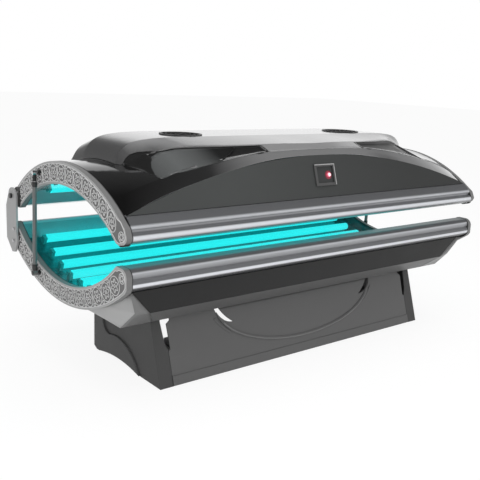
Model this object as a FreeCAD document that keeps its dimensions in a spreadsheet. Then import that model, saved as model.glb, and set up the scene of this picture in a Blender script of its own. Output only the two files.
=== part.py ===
"""Clamshell tanning bed: a fixed lower bench on a pedestal and a hinged upper canopy.

Units are millimetres. +X runs along the bed, -Y is the side the user gets in from, +Z is up.
The origin lies on the floor under the middle of the bed.
"""
import FreeCAD, Part
import math
import os
import re
import Sketcher
from FreeCAD import Placement, Rotation, Vector

DIMENSIONS = (
    # overall
    ("bed_length", 2000, "between the outer faces of the end panels"),
    ("cap_depth", 25, "depth of each end panel along the bed"),
    ("bed_depth", 1046, "front nose of the rails to the rear edge of the hinge plates"),
    # bench arc, seen from the end
    ("bench_inner_radius", 675, "lying surface"),
    ("bench_inner_centre", 1041, "height of its centre"),
    ("bench_outer_radius", 861, "underside of the end panel"),
    ("bench_outer_centre", 1145, "height of its centre"),
    # canopy arc, seen from the end
    ("canopy_axis", -35, "depth position of the canopy's centre line"),
    ("canopy_inner_radius", 669, "inside of the tunnel"),
    ("canopy_inner_centre", 92, "height of its centre"),
    ("canopy_outer_radius", 735, "outline of the end panel"),
    ("canopy_end_top", 850, "highest point of the canopy at its ends"),
    ("canopy_crown", 75, "extra height of the shell at mid length"),
    # optics
    ("acrylic_setback", 5, "acrylic behind the end panel's edge"),
    ("acrylic_sheet", 3, "sheet thickness"),
    ("lamp_radius", 19, "tube, 38 mm across"),
    ("lamp_wall", 1.2, "glass"),
    ("lamp_length", 1770, "glass and caps"),
    ("lamp_air", 6, "gap between acrylic and lamp"),
    ("reflector_sheet", 1, "aluminium sheet"),
    # skins
    ("shell_skin", 5, "canopy shell"),
    ("fascia_skin", 6, "canopy front panel"),
    ("fascia_height", 180, "rise of the arched top edge"),
    ("fascia_half_span", 970, "half width of the arch at its foot"),
    ("sheet_steel", 3, "bench underside and panels"),
    # hinge
    ("pivot_depth", 458, "position of the canopy hinge axis"),
    ("pivot_height", 645, "height of the canopy hinge axis"),
    ("hinge_plate_gap", 7, "from end panel to hinge plate"),
    ("hinge_plate_steel", 8, "plate thickness"),
    ("hinge_arm_steel", 6, "arm thickness"),
    ("hinge_pin_radius", 8, "pin"),
    ("running_gap", 0.05, "radial clearance of a running fit"),
    # gas springs
    ("spring_foot_depth", 199, "lower ball stud"),
    ("spring_foot_height", 359, "lower ball stud"),
    ("spring_head_depth", 182, "upper ball stud"),
    ("spring_head_height", 782, "upper ball stud"),
    ("spring_offset", 23, "spring axis outside the end panel"),
    ("spring_tube_radius", 9, "outside of the tube"),
    ("spring_bore_radius", 7.8, "inside of the tube"),
    ("spring_rod_radius", 4, "rod"),
    ("spring_tube_end", 385, "top of the tube from the lower stud"),
    ("stud_radius", 5, "ball stud shank"),
    # fans
    ("fan_spacing", 480, "each fan from mid length"),
    ("fan_depth", -56, "fan axis"),
    ("fan_opening_radius", 85, "opening in the hood"),
    ("fan_duct_radius", 78, "inside of the fan housing"),
    ("fan_floor", 915, "underside of the fan housing"),
    ("fan_height", 28.8, "fan housing"),
    ("impeller_radius", 74, "over the blades"),
    # controls
    ("panel_width", 120, "control bezel"),
    ("panel_height", 94, "control bezel"),
    ("panel_centre", 94, "up the fascia from its bottom edge"),
    ("button_radius", 10, "start button"),
    ("button_offset", 20, "button from the middle of the panel"),
    # pedestal
    ("base_half_length", 785, "outer face of the leg covers"),
    ("leg_recess", 6, "depth of the dished area on a leg cover"),
    ("leg_return", 67, "depth of a leg cover along the bed"),
    ("base_front", -406, "front edge on the floor"),
    ("base_rear", 106, "rear edge on the floor"),
    ("base_height", 274, "top of the covers"),
    ("cover_skin", 4, "cover thickness"),
    ("beam_width", 40, "frame tube"),
    ("beam_height", 24, "frame tube"),
    ("bench_floor", 276, "underside of the bench"),
    ("foot_height", 12, "levelling foot"),
    ("foot_radius", 20, "levelling foot"),
)

doc = FreeCAD.newDocument("TanningBed")
sheet = doc.addObject("Spreadsheet::Sheet", "Dimensions")
for row, (alias, number, note) in enumerate(DIMENSIONS, start=1):
    sheet.set("A%d" % row, alias)
    sheet.set("B%d" % row, str(number))
    sheet.set("C%d" % row, note)
    sheet.setAlias("B%d" % row, alias)
doc.recompute()
size = {alias: float(sheet.get(alias)) for alias, _, _ in DIMENSIONS}

LEAN = math.degrees(math.atan(0.32))
LAMPS = 10
SIDES = (("left", -1), ("right", 1))
subparts = []


# ---------------------------------------------------------------- helpers

def linked(text):
    """An expression in which every alias is read from the sheet."""
    names = sorted(size, key=len, reverse=True)
    pattern = r"\b(%s)\b" % "|".join(names)
    return re.sub(pattern, r"Dimensions.\1", str(text))


def bind(item, **expressions):
    for name, text in expressions.items():
        item.setExpression(name.replace("__", "."), linked(text))
    return item


def keep(item, label):
    """Give a finished sub-part its own label and put it on the list."""
    item.Label = label
    subparts.append(item)
    return item


def plane_of(body, role):
    return next(f for f in body.Origin.OriginFeatures if f.Role == role)


def new_sketch(body, role, offset="0"):
    sketch = body.newObject("Sketcher::SketchObject", "Outline")
    sketch.AttachmentSupport = [(plane_of(body, role), "")]
    sketch.MapMode = "FlatFace"
    sketch.setExpression("AttachmentOffset.Base.z", linked(offset))
    return sketch


def draw(sketch, start, *steps):
    """Draw a closed loop. A step (u, v) is a line, a step (um, vm, u, v) an arc through um, vm."""
    here = start
    for step in steps + (start,):
        there = step[-2:]
        if len(step) == 4:
            edge = Part.Arc(Vector(*here, 0), Vector(step[0], step[1], 0), Vector(*there, 0))
        elif math.dist(here, there) > 1e-6:
            edge = Part.LineSegment(Vector(*here, 0), Vector(*there, 0))
        else:
            continue
        number = sketch.addGeometry(edge, False)
        sketch.addConstraint(Sketcher.Constraint("Block", number))
        here = there


def draw_circle(sketch, u, v, radius):
    """A full circle whose radius follows the sheet."""
    number = sketch.addGeometry(Part.Circle(Vector(u, v, 0), Vector(0, 0, 1), 10), False)
    place = sketch.addConstraint(Sketcher.Constraint("DistanceX", -1, 1, number, 3, u))
    sketch.addConstraint(Sketcher.Constraint("DistanceY", -1, 1, number, 3, v))
    width = sketch.addConstraint(Sketcher.Constraint("Radius", number, 10))
    sketch.setExpression("Constraints[%d]" % width, linked(radius))
    return place


def pad(body, sketch, length, backwards=False):
    feature = body.newObject("PartDesign::Pad", "Pad")
    feature.Profile = sketch
    bind(feature, Length=length)
    feature.Reversed = backwards
    return feature


def long_part(label, start, length, outline, *holes, circles=()):
    """A part with one section all along X: outline and holes are loops of (y, z)."""
    body = doc.addObject("PartDesign::Body", label)
    sketch = new_sketch(body, "YZ_Plane", start)
    draw(sketch, *outline)
    for hole in holes:
        draw(sketch, *hole)
    for y, z, radius in circles:
        draw_circle(sketch, y, z, radius)
    pad(body, sketch, length)
    return keep(body, label)


def leaning_plate(label, thickness, angle, foot, outline, *holes, circles=(), offset="0"):
    """A plate drawn in XZ, leant back by an angle about its foot at (y, z)."""
    body = doc.addObject("PartDesign::Body", label)
    sketch = new_sketch(body, "XZ_Plane", offset)
    draw(sketch, *outline)
    for hole in holes:
        draw(sketch, *hole)
    for u, v, radius in circles:
        draw_circle(sketch, u, v, radius)
    pad(body, sketch, thickness, backwards=True)
    body.Placement = Placement(Vector(0, *foot), Rotation(Vector(1, 0, 0), -angle))
    return keep(body, label)


def cylinder(radius, height, base, direction=Vector(0, 0, 1)):
    item = bind(doc.addObject("Part::Cylinder", "Cylinder"), Radius=radius, Height=height)
    item.Placement = Placement(Vector(*base), Rotation(Vector(0, 0, 1), direction))
    return item


def box(length, width, height, corner):
    item = bind(doc.addObject("Part::Box", "Box"), Length=length, Width=width, Height=height)
    item.Placement = Placement(Vector(*corner), Rotation())
    return item


def fuse(*items):
    result = doc.addObject("Part::MultiFuse", "Fuse")
    result.Shapes = list(items)
    return result


def cut(base, *tools):
    for tool in tools:
        result = doc.addObject("Part::Cut", "Cut")
        result.Base, result.Tool = base, tool
        base = result
    return base


def group(*items):
    """Separate solids that share one node."""
    result = doc.addObject("Part::Compound", "Group")
    result.Links = list(items)
    return result


def bent_sheet(label, centre_depth, centre, inner, thickness, length, first, last):
    """Part of a tube along X. Angles count from straight down towards +Y."""
    shells = []
    for radius in (inner + " + " + thickness, inner):
        item = bind(doc.addObject("Part::Cylinder", "Arc"), Radius=radius, Height=length)
        item.Angle = last - first
        item.Placement = Placement(Vector(-1, 0, 0), Rotation(Vector(1, 0, 0), first)
                                   * Rotation(Vector(0, 1, 0), 90))
        bind(item, Placement__Base__x="-(%s)/2" % length, Placement__Base__y=centre_depth,
             Placement__Base__z=centre)
        shells.append(item)
    return keep(cut(*shells), label)


def from_shape(label, shape):
    item = doc.addObject("Part::Feature", label)
    item.Shape = shape
    return keep(item, label)


def point_on_arc(centre_depth, centre, radius, angle):
    """(y, z) at an angle from straight down towards +Y."""
    turn = math.radians(angle)
    return centre_depth + radius * math.sin(turn), centre - radius * math.cos(turn)


def arc_height(centre, radius, depth, side):
    return centre + side * math.sqrt(radius ** 2 - depth ** 2)


# ---------------------------------------------------------------- shared places

INNER_X = size["bed_length"] / 2 - size["cap_depth"]
OUTER_X = size["bed_length"] / 2
NOSE = -size["bed_depth"] / 2
REAR = size["bed_depth"] / 2
AXIS = size["canopy_axis"]
CAP_START = {-1: "-bed_length/2", 1: "bed_length/2 - cap_depth"}
INSIDE = "bed_length - 2*cap_depth"
INSIDE_START = "-bed_length/2 + cap_depth"
FASCIA_FOOT = (-472, 717)


def bench_inner(depth):
    return arc_height(size["bench_inner_centre"], size["bench_inner_radius"], depth, -1)


def bench_outer(depth):
    return arc_height(size["bench_outer_centre"], size["bench_outer_radius"], depth, -1)


def canopy_inner(depth):
    return arc_height(size["canopy_inner_centre"], size["canopy_inner_radius"], depth - AXIS, 1)


# ---------------------------------------------------------------- bench ends and rails

BENCH_TIP = (-450, bench_inner(-450))
BENCH_REAR = (436, bench_inner(436))
for side, sign in SIDES:
    long_part(
        "bench_end_" + side, CAP_START[sign], "cap_depth",
        (BENCH_TIP,
         (0, bench_inner(0), *BENCH_REAR),
         (455, 530), (463, 500), (458, bench_outer(458)),
         (0, bench_outer(0), -514, bench_outer(-514)),
         (NOSE, 468), (NOSE, 500), (-515, 526, -490, 538)))

long_part(
    "bench_front_rail", INSIDE_START, INSIDE,
    ((-452, 537), (-490, 537), (-514, 524, -513, 499), (NOSE, 482, -511, 461), (-482, 446), (-452, 446)),
    ((-456, 533), (-489, 533), (-508, 522, -508, 499), (-516, 482, -507, 465), (-481, 450), (-456, 450)))
long_part(
    "bench_rear_rail", INSIDE_START, INSIDE,
    ((436, 528), (454, 528), (462, 500), (457, 417), (436, 417)),
    ((439, 525), (452, 525), (459, 500), (454, 420), (439, 420)))


# ---------------------------------------------------------------- bench underside

PANEL_TOP = (-479, 442)
PANEL_FOOT = (-456, 344)
BELLY_EDGE = (-374, size["bench_floor"])
REAR_TOP = (455, 405)
REAR_FOOT = (440, 344)


def slanted_end(height):
    """Half length of the underside, which shortens towards the floor."""
    return 800 + 0.93 * (height - size["bench_floor"])


panel_rise = math.dist(PANEL_TOP, PANEL_FOOT)
panel_lean = -math.degrees(math.atan2(PANEL_FOOT[0] - PANEL_TOP[0], PANEL_TOP[1] - PANEL_FOOT[1]))
low, high = slanted_end(PANEL_FOOT[1]) - 1, slanted_end(PANEL_TOP[1]) - 1
leaning_plate("bench_front_panel", "sheet_steel", panel_lean, PANEL_FOOT,
              ((-low, 1), (low, 1), (high, panel_rise), (-high, panel_rise)))
rear_rise = math.dist(REAR_TOP, REAR_FOOT)
low, high = slanted_end(REAR_FOOT[1]) - 1, slanted_end(REAR_TOP[1]) - 1
rear = leaning_plate("bench_rear_panel", "sheet_steel", 0, REAR_FOOT,
                     ((-low, 1), (low, 1), (high, rear_rise), (-high, rear_rise)))
rear.Placement = Placement(Vector(0, *REAR_FOOT), Rotation(Vector(0, 0, 1), 180)
                           * Rotation(Vector(1, 0, 0), 13.8))

steel = size["sheet_steel"]
belly = Part.Face(Part.makePolygon([Vector(-OUTER_X, y, z) for y, z in (
    PANEL_FOOT, BELLY_EDGE, (-BELLY_EDGE[0], BELLY_EDGE[1]), REAR_FOOT,
    (REAR_FOOT[0] - steel, REAR_FOOT[1]), (-BELLY_EDGE[0] - 2, BELLY_EDGE[1] + steel),
    (BELLY_EDGE[0] + 2, BELLY_EDGE[1] + steel), (PANEL_FOOT[0] + steel + 1, PANEL_FOOT[1]), PANEL_FOOT)]))
belly = belly.extrude(Vector(size["bed_length"], 0, 0))
for sign in (-1, 1):
    wedge = Part.Face(Part.makePolygon([Vector(sign * x, -600, z) for x, z in (
        (slanted_end(200) - 0.5, 200), (slanted_end(500) - 0.5, 500), (1400, 500), (1400, 200),
        (slanted_end(200) - 0.5, 200))]))
    belly = belly.cut(wedge.extrude(Vector(0, 1200, 0)))
slot = Part.makeBox(160, 6, 20)
for column in range(4):
    for line in range(6):
        belly = belly.cut(slot.translated(Vector(-520 + 290 * column, 120 + 24 * line, 268)))
from_shape("bench_belly", belly)


def fairing_ring(corners, roof):
    """One closed wire of a fairing, from its lower corners and its roof, each (x, y, z)."""
    return Part.makePolygon([Vector(*p) for p in corners + roof[::-1] + corners[:1]])


ROOF = ((-374, 385), (-187, 315), (0, 292), (187, 315), (374, 385))
ring_end = fairing_ring(
    [(-INNER_X, y, bench_outer(y)) for y in (-500, -374, -187, 0, 187, 374, 448)],
    [(-INNER_X, y, z) for y, z in ROOF])
ring_corner = fairing_ring(
    [(-966, -490, 443), (-925, -452, 352), (-940, *BELLY_EDGE), (-940, 0, BELLY_EDGE[1]),
     (-940, -BELLY_EDGE[0], BELLY_EDGE[1]), (-925, 438, 352), (-966, 452, 406)],
    [(-945, y, z) for y, z in ROOF])
ring_cut = fairing_ring(
    [(-slanted_end(z), y, z) for y, z in (PANEL_TOP, PANEL_FOOT, BELLY_EDGE, (0, BELLY_EDGE[1]),
                                          (-BELLY_EDGE[0], BELLY_EDGE[1]), REAR_FOOT, REAR_TOP)],
    [(-slanted_end(z), y, z) for y, z in ROOF])
fairing = Part.makeLoft([ring_end, ring_corner, ring_cut], True, True)
from_shape("bench_fairing_left", fairing)
from_shape("bench_fairing_right", fairing.mirror(Vector(0, 0, 0), Vector(1, 0, 0)))


# ---------------------------------------------------------------- canopy ends and rails

def canopy_outer(depth):
    radius = size["canopy_outer_radius"]
    return arc_height(size["canopy_end_top"] - radius, radius, depth - AXIS, 1)


CANOPY_TIP = (-446, canopy_inner(-446))
CANOPY_REAR = (401, canopy_inner(401))
SHOULDER = (-472, canopy_outer(-472))
HEEL = (441, canopy_outer(441))
# each canopy end is glued up from short arc segments, butt jointed on radial lines
JOINTS = (-26.7, -15.5, -4.2, 7.0, 18.2, 29.4)


def on_inner(angle):
    turn = math.radians(angle)
    radius = size["canopy_inner_radius"]
    return AXIS + radius * math.sin(turn), size["canopy_inner_centre"] + radius * math.cos(turn)


def on_outer(angle):
    """Where a radial line from the inner arc's centre meets the outline."""
    turn = math.radians(angle)
    lift = size["canopy_end_top"] - size["canopy_outer_radius"] - size["canopy_inner_centre"]
    reach = lift * math.cos(turn) + math.sqrt(size["canopy_outer_radius"] ** 2 - (lift * math.sin(turn)) ** 2)
    return AXIS + reach * math.sin(turn), size["canopy_inner_centre"] + reach * math.cos(turn)


def segments():
    """Outlines of the segments of one canopy end, from the front to the rear."""
    first, last = JOINTS[0], JOINTS[-1]
    yield (CANOPY_TIP, (*on_inner(-32), *on_inner(first)), on_outer(first),
           (*on_outer(-32), *SHOULDER), (-509, 680), (NOSE, 650), (-512, 630, -492, 621), (-469, 615))
    for low, high in zip(JOINTS, JOINTS[1:]):
        middle = (low + high) / 2
        yield (on_inner(low), (*on_inner(middle), *on_inner(high)), on_outer(high),
               (*on_outer(middle), *on_outer(low)))
    yield (on_inner(last), (*on_inner(35), *CANOPY_REAR), (418, 598), (436, 614), HEEL,
           (*on_outer(35), *on_outer(last)))


for side, sign in SIDES:
    glued = []
    for outline in segments():
        body = doc.addObject("PartDesign::Body", "end_segment_" + side)
        sketch = new_sketch(body, "YZ_Plane", CAP_START[sign])
        draw(sketch, *outline)
        pad(body, sketch, "cap_depth")
        glued.append(body)
    keep(group(*glued), "canopy_end_" + side)

long_part(
    "canopy_front_rail", INSIDE_START, INSIDE,
    ((-446, 715), (-474, 715), (-507, 684), (-509, 677), (-503, 672), (-505, 664),
     (-517, 658), (NOSE, 645, -511, 629), (-488, 618), (-446, 618)),
    ((-449, 712), (-473, 712), (-503, 683), (-500, 673), (-502, 662), (-513, 656),
     (-519, 645, -509, 632), (-487, 621), (-449, 621)))
long_part(
    "canopy_rear_rail", INSIDE_START, INSIDE,
    ((406, 608), (432, 608), (438, 640), (439, 671), (406, 671)),
    ((409, 611), (429, 611), (435, 640), (436, 668), (409, 668)))


# ---------------------------------------------------------------- canopy skin

ARCH_RADIUS = (size["fascia_half_span"] ** 2 + size["fascia_height"] ** 2) / (2 * size["fascia_height"])
LEAN_SIN, LEAN_COS = math.sin(math.radians(LEAN)), math.cos(math.radians(LEAN))


def arch(x):
    """Height of the fascia's top edge, measured up the fascia."""
    return math.sqrt(ARCH_RADIUS ** 2 - x ** 2) - ARCH_RADIUS + size["fascia_height"]


def crown(x):
    return size["canopy_end_top"] + size["canopy_crown"] * (1 - (x / INNER_X) ** 2) ** 2


def tangent_arc(top, end):
    """Arc from a level top to an end point, both (y, z): its end, middle and top."""
    across, drop = end[0] - top[0], top[1] - end[1]
    radius = (across ** 2 + drop ** 2) / (2 * drop)
    half = math.asin(across / radius) / 2
    middle = (top[0] + radius * math.sin(half), top[1] - radius * (1 - math.cos(half)))
    return end, middle, top


def shell_front(x):
    """Where the shell meets the back of the fascia."""
    if abs(x) >= INNER_X:
        return SHOULDER
    skin = size["fascia_skin"]
    return (FASCIA_FOOT[0] + arch(x) * LEAN_SIN + skin * LEAN_COS + 0.8,
            FASCIA_FOOT[1] + arch(x) * LEAN_COS - skin * LEAN_SIN)


def lip_top(x):
    """Top of the shell's steep front lip, where the hood starts."""
    reach = min(abs(x) / INNER_X, 1)
    front = shell_front(x)
    return front[0] + 12 + 69 * reach ** 2, front[1] + 24 + 28 * reach


def shell_surface(x, inset=0):
    """Points of the shell at one X: the lip, the front arc above it and the rear arc."""
    top = (AXIS, crown(x) - inset)
    edge, lip = shell_front(x), lip_top(x)
    edge = (edge[0] + 0.8 * inset, edge[1] - 0.55 * inset)
    lip = (lip[0] + 0.6 * inset, lip[1] - 0.9 * inset)
    heel = (HEEL[0] - 0.9 * inset, HEEL[1] - 0.45 * inset)
    return edge, tangent_arc(top, lip), tangent_arc(top, heel)


def arc_edge(x, points):
    return Part.Arc(*[Vector(x, *p) for p in points]).toShape()


def line_edge(x, first, last):
    return Part.makeLine(Vector(x, *first), Vector(x, *last))


def shell_ring(x):
    edge, front, rear = shell_surface(x)
    edge_in, front_in, rear_in = shell_surface(x, size["shell_skin"])
    return Part.Wire([line_edge(x, edge, front[0]), arc_edge(x, front), arc_edge(x, rear[::-1]),
                      line_edge(x, rear[0], rear_in[0]), arc_edge(x, rear_in),
                      arc_edge(x, front_in[::-1]), line_edge(x, front_in[0], edge_in),
                      line_edge(x, edge_in, edge)])


def barrel_ring(x, margin=0.5, floor=600):
    """Section of a solid that fills the canopy up to a margin above the shell."""
    edge, front, rear = shell_surface(x, -margin)
    low_rear, low_front = (rear[0][0], floor), (edge[0], floor)
    return Part.Wire([line_edge(x, edge, front[0]), arc_edge(x, front), arc_edge(x, rear[::-1]),
                      line_edge(x, rear[0], low_rear), line_edge(x, low_rear, low_front),
                      line_edge(x, low_front, edge)])


STATIONS = (-INNER_X, -900, -720, -450, 0, 450, 720, 900, INNER_X)
shell = Part.makeLoft([shell_ring(x) for x in STATIONS], True, False)
barrel = Part.makeLoft([barrel_ring(x) for x in STATIONS], True, False)
for sign in (-1, 1):
    air_hole = Part.makeCylinder(60, 200, Vector(sign * size["fan_spacing"], size["fan_depth"], 780))
    shell = shell.cut(air_hole)
rail_room = Part.makeBox(size["bed_length"], 76, 30, Vector(-OUTER_X, -520, 685.3))
HALF_SPAN = size["fascia_half_span"]
left_low, right_low, right_high, left_high = [Vector(x, 0, z) for x, z in (
    (-HALF_SPAN - 2, -2), (HALF_SPAN + 2, -2), (HALF_SPAN + 2, 1.5), (-HALF_SPAN - 2, 1.5))]
fascia_rim = [Part.makeLine(left_low, right_low), Part.makeLine(right_low, right_high),
              Part.Arc(right_high, Vector(0, 0, size["fascia_height"] + 0.5), left_high).toShape(),
              Part.makeLine(left_high, left_low)]
fascia_room = Part.Face(Part.Wire(fascia_rim)).extrude(Vector(0, size["fascia_skin"] + 0.5, 0))
fascia_room.Placement = Placement(Vector(0, *FASCIA_FOOT), Rotation(Vector(1, 0, 0), -LEAN))
from_shape("canopy_shell", shell.cut(rail_room).cut(fascia_room))

PANEL_MID = size["panel_centre"]
HOLE_U, HOLE_V = size["panel_width"] / 2 - 6, size["panel_height"] / 2 - 6
leaning_plate("canopy_fascia", "fascia_skin", LEAN, FASCIA_FOOT,
              ((-HALF_SPAN, 0), (HALF_SPAN, 0), (HALF_SPAN, 1),
               (0, size["fascia_height"], -HALF_SPAN, 1)),
              ((-HOLE_U, PANEL_MID - HOLE_V), (HOLE_U, PANEL_MID - HOLE_V),
               (HOLE_U, PANEL_MID + HOLE_V), (-HOLE_U, PANEL_MID + HOLE_V)))

# hood stations: X, lift over the shell's lip, front edge of the roof (y, z), then heights of
# the roof, of the rear slope and of the rear edge
HOOD = (
    (0, 1, -350, 931, 950, 915, 785),
    (270, 1, -331, 931, 950, 915, 782),
    (480, 1, -285, 928, 949.8, 915, 772),
    (650, 1, -235, 920, 947.6, 912, 755),
    (740, 0, -205, 893, 939, 903, 742),
    (800, -4, -190, 862, 918, 884, 738),
    (828, -30, -180, 836, 890, 856, 733),
    (850, -80, -175, 765, 812, 790, 728),
)
SCOOP_DEPTH = 14


def hood_face(row):
    """Foot and top of the hood's front face at one station."""
    x, lift, edge_depth, edge_height = row[:4]
    foot = lip_top(x)
    return (foot[0], foot[1] + lift), (edge_depth, edge_height)


def hood_ring(row, inset):
    foot, edge = hood_face(row)
    roof, slope, rear = row[4:]
    floor = 700
    points = ((foot[0] + inset, floor), (foot[0] + inset, foot[1] - 0.4 * inset),
              (edge[0] + 0.3 * inset, edge[1] - inset), (-150, roof - 1 - inset), (110, roof - inset),
              (215 - 0.5 * inset, slope - inset), (345 - inset, rear - inset), (345 - inset, floor))
    return Part.makePolygon([Vector(row[0], *p) for p in points + points[:1]])


def both_ways(rows):
    return [(-row[0], *row[1:]) for row in rows[:0:-1]] + list(rows)


def hood_solid(inset):
    return Part.makeLoft([hood_ring(row, inset) for row in both_ways(HOOD)], True, False)


def scoop(sign, margin):
    """The air scoop sunk in the front face, grown by a margin."""
    rings = []
    for row, depth in ((HOOD[1], 0.7), (HOOD[2], 1), (HOOD[3], 1), (HOOD[4], 0.6)):
        foot, edge = hood_face(row)
        up = Vector(0, edge[0] - foot[0], edge[1] - foot[1]).normalize()
        out = Vector(0, -up.z, up.y)
        low = Vector(0, *foot) + up * (12 - margin)
        high = Vector(0, *edge) - up * (9 - margin)
        deep = out * -(SCOOP_DEPTH * depth + margin)
        side = Vector(sign * (row[0] + {270: 15 - margin, 740: margin}.get(row[0], 0)), 0, 0)
        corners = [side + p for p in (low + out * 30, high + out * 30, high + deep, low + deep)]
        rings.append(Part.makePolygon(corners + corners[:1]))
    return Part.makeLoft(rings, True, True)


outer, hollow = hood_solid(0), hood_solid(5)
for sign in (-1, 1):
    outer = outer.cut(scoop(sign, 0))
    hollow = hollow.cut(scoop(sign, 5))
hood = outer.cut(hollow).cut(barrel)
for sign in (-1, 1):
    hood = hood.cut(Part.makeCylinder(size["fan_opening_radius"], 200,
                                      Vector(sign * size["fan_spacing"], size["fan_depth"], 850)))
    hood = hood.cut(Part.makeBox(186, 186, size["fan_height"] + 20.2, Vector(
        sign * size["fan_spacing"] - 93, size["fan_depth"] - 93, size["fan_floor"] - 20)))
from_shape("canopy_hood", max(hood.Solids, key=lambda s: s.Volume))


# ---------------------------------------------------------------- lamps, reflectors, acrylic

def lamp_bank(name, centre_depth, centre, inner, step, middle, wall_front, wall_rear):
    """One bank. The angles of its sheets reach the walls of the rails in front and behind."""
    sheet_radius = size[inner] + size["acrylic_setback"]
    acrylic = "%s + acrylic_setback" % inner
    mirror = "%s + acrylic_setback + acrylic_sheet + 2*lamp_air + 2*lamp_radius" % inner
    outer = sheet_radius + size["acrylic_sheet"]
    lamp_track = outer + size["lamp_air"] + size["lamp_radius"]
    mirror_radius = lamp_track + size["lamp_radius"] + size["lamp_air"] + size["reflector_sheet"]
    facing = -1 if middle else 1

    def reach(wall, radius):
        return math.degrees(math.asin(abs(wall - size.get(centre_depth, 0)) / radius)) - 0.02

    def span(radius):
        ends = (reach(wall_front, radius), reach(wall_rear, radius))
        return (middle - ends[0], middle + ends[1]) if facing > 0 else (middle - ends[1], middle + ends[0])

    bent_sheet(name + "_acrylic", centre_depth, centre, acrylic, "acrylic_sheet", INSIDE, *span(outer))
    bent_sheet(name + "_reflector", centre_depth, centre, mirror, "reflector_sheet", INSIDE,
               *span(mirror_radius))
    tubes, holders = [], []
    for number in range(LAMPS):
        angle = middle + step * (number - (LAMPS - 1) / 2)
        y, z = point_on_arc(size.get(centre_depth, 0), size[centre], lamp_track, angle)
        glass = [cylinder(radius, "lamp_length", (0, y, z), Vector(1, 0, 0))
                 for radius in ("lamp_radius", "lamp_radius - lamp_wall")]
        tubes.append(cut(*[bind(part, Placement__Base__x="-lamp_length/2") for part in glass]))
        turn = Rotation(Vector(1, 0, 0), angle)
        rise = size["lamp_radius"] + size["lamp_air"] + 11.8
        for sign in (-1, 1):
            start = size["lamp_length"] / 2 if sign > 0 else -size["lamp_length"] / 2 - 16
            holder = box("16", "26", "lamp_radius + lamp_air + 11.8", (0, 0, 0))
            shift = turn.multVec(Vector(0, -13, -rise + 12))
            holder.Placement = Placement(Vector(start, y, z) + shift, turn)
            holders.append(holder)
    keep(group(*tubes), name + "_lamps")
    keep(group(*holders), name + "_lampholders")
    return mirror_radius


lamp_bank("bench", "0", "bench_inner_centre", "bench_inner_radius", 7.5, 0, -452, 436)
canopy_mirror = lamp_bank("canopy", "canopy_axis", "canopy_inner_centre", "canopy_inner_radius",
                          7.2, 180, -446, 406)

chokes = []
for x in (-240, 90):
    for angle in (174, 180, 186):
        y, z = point_on_arc(AXIS, size["canopy_inner_centre"], canopy_mirror, angle)
        turn = Rotation(Vector(1, 0, 0), angle)
        choke = box("150", "42", "22", (0, 0, 0))
        choke.Placement = Placement(Vector(x, y, z) + turn.multVec(Vector(0, -21, -22)), turn)
        chokes.append(choke)
keep(group(*chokes), "canopy_ballasts")


# ---------------------------------------------------------------- hinges

PIVOT = (size["pivot_depth"], size["pivot_height"])
PLATE_IN = OUTER_X + size["hinge_plate_gap"]
PLATE_OUT = PLATE_IN + size["hinge_plate_steel"]
PLATE_SCREWS = ((438, 500), (444, 446))
ARM_SCREWS = ((418, 640), (409, 668))


def along_x(radius, height, start, y, z, sign):
    """A cylinder that runs outwards from |X| = start."""
    return cylinder(radius, height, (sign * start, y, z), Vector(sign, 0, 0))


spacers, pins, bushes, bench_screws, canopy_screws = [], [], [], [], []
for side, sign in SIDES:
    plate_start = {-1: "-bed_length/2 - hinge_plate_gap - hinge_plate_steel",
                   1: "bed_length/2 + hinge_plate_gap"}[sign]
    long_part(
        "hinge_plate_" + side, plate_start, "hinge_plate_steel",
        ((407, 640), (416, 668, 440, 680), (474, 676, 492, 652), (510, 618), (REAR, 594),
         (REAR, 447), (462, 393), (430, 398), (402, 450), (411, 480)),
        circles=((*PIVOT, "hinge_pin_radius"),))
    long_part(
        "hinge_arm_" + side, {-1: "-bed_length/2 - hinge_arm_steel", 1: "bed_length/2"}[sign],
        "hinge_arm_steel",
        ((396, 606), (420, 600), (452, 618), (478, 636, 466, 663), (428, 688), (396, 690), (390, 650)),
        circles=((*PIVOT, "hinge_pin_radius + 4"), *[(y, z, "5.1") for y, z in ARM_SCREWS]))
    for y, z in PLATE_SCREWS:
        spacers.append(along_x("12", "hinge_plate_gap", OUTER_X, y, z, sign))
        bench_screws.append(along_x("7", "4", PLATE_OUT, y, z, sign))
    for y, z in ARM_SCREWS:
        canopy_screws.append(along_x("5", "hinge_arm_steel + 0.5", OUTER_X, y, z, sign))
    pin = fuse(along_x("hinge_pin_radius", "25", PLATE_OUT - 25, *PIVOT, sign),
               along_x("11", "9", PLATE_OUT, *PIVOT, sign),
               along_x("12", "8", PLATE_OUT - 33, *PIVOT, sign))
    pins.append(pin)
    bush = cut(along_x("hinge_pin_radius + 4", "hinge_arm_steel + 1.5", OUTER_X - 1, *PIVOT, sign),
               along_x("hinge_pin_radius + running_gap", "12", OUTER_X - 3, *PIVOT, sign))
    bushes.append(bush)
keep(group(*spacers), "hinge_spacers")
keep(group(*pins), "hinge_pins")
keep(group(*bushes), "hinge_bushes")

for side, sign in SIDES:
    for angle in (-34, -19, -6, 6, 19, 31):
        y, z = point_on_arc(0, size["bench_inner_centre"], 712, angle)
        bench_screws.append(along_x("5", "2.5", OUTER_X, y, z, sign))
    for angle in (151, 172, 188, 202, 212):
        y, z = point_on_arc(AXIS, size["canopy_inner_centre"], 701, angle)
        canopy_screws.append(along_x("5", "2.5", OUTER_X, y, z, sign))
keep(group(*bench_screws), "bench_end_screws")
keep(group(*canopy_screws), "canopy_end_screws")


# ---------------------------------------------------------------- gas springs

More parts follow.
